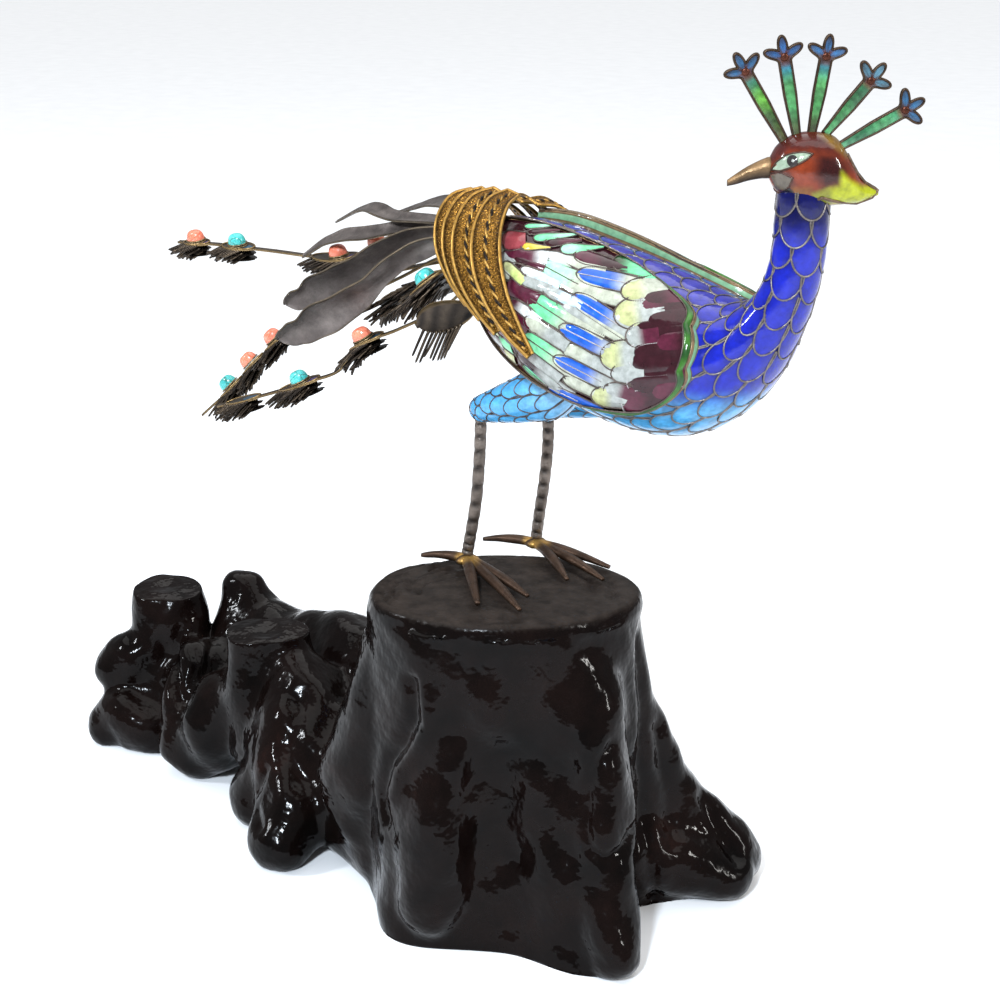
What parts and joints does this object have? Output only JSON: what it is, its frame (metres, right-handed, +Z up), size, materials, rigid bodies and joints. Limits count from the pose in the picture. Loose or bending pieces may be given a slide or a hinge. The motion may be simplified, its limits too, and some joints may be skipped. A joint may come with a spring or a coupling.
{
  "type": "peacock figurine on a carved wood stand",
  "caption": "Enamelled metal peacock with a fan crest, gilt leaf collar and bead-set tail plumes, standing on a lacquered root-wood stump.",
  "frame": {"origin": "middle of the bounding box's bottom, on the table", "axes": "+X the way the bird's body faces, +Y the bird's left, +Z up"},
  "size_m": [0.1666, 0.0682, 0.1513],
  "materials": {
    "lacquered_wood": "near-black brown lacquer, high gloss",
    "cobalt_enamel": "glossy cobalt enamel between thin silver wires, sky blue below",
    "head_enamel": "glossy orange-red and maroon enamel, yellow-green at the nape",
    "crest_enamel": "glossy green enamel turning blue at the petals",
    "wing_enamel": "glossy enamel in feather cells: ivory, mint, cobalt and maroon",
    "sky_enamel": "glossy sky blue enamel in scale cells",
    "bronze": "dull bronze-coloured metal",
    "dark_silver": "dark tarnished silver, satin",
    "gilt_silver": "gilt filigree, satin",
    "coral": "polished salmon coral",
    "turquoise": "polished turquoise"
  },
  "bodies": {
    "root": {"stand": "lacquered_wood", "body": "cobalt_enamel", "head": "head_enamel", "beak": "bronze", "crest_plume_1": "crest_enamel", "crest_plume_2": "crest_enamel", "crest_plume_3": "crest_enamel", "crest_plume_4": "crest_enamel", "crest_plume_5": "crest_enamel", "wing_right": "wing_enamel", "wing_left": "wing_enamel", "thigh_right": "sky_enamel", "thigh_left": "sky_enamel", "leg_right": "dark_silver", "leg_left": "dark_silver", "foot_right": "bronze", "foot_left": "bronze", "gilt_leaf_right_a": "gilt_silver", "gilt_leaf_right_b": "gilt_silver", "gilt_leaf_right_c": "gilt_silver", "gilt_leaf_right_d": "gilt_silver", "gilt_leaf_left_a": "gilt_silver", "gilt_leaf_left_b": "gilt_silver", "gilt_leaf_left_c": "gilt_silver", "gilt_leaf_left_d": "gilt_silver", "sheet_feather_1": "dark_silver", "sheet_feather_2": "dark_silver", "sheet_feather_3": "dark_silver", "sheet_feather_4": "dark_silver", "sheet_feather_5": "dark_silver", "fringe_plume_1": "dark_silver", "fringe_plume_2": "dark_silver", "fringe_plume_3": "dark_silver", "fringe_plume_4": "dark_silver", "fringe_plume_5": "dark_silver", "fringe_plume_6": "dark_silver", "fringe_paddle": "dark_silver", "coral_bead_1": "coral", "coral_bead_2": "coral", "coral_bead_3": "coral", "coral_bead_4": "coral", "coral_bead_5": "coral", "coral_bead_6": "coral", "turquoise_bead_1": "turquoise", "turquoise_bead_2": "turquoise", "turquoise_bead_3": "turquoise", "turquoise_bead_4": "turquoise"}
  },
  "joints": []
}
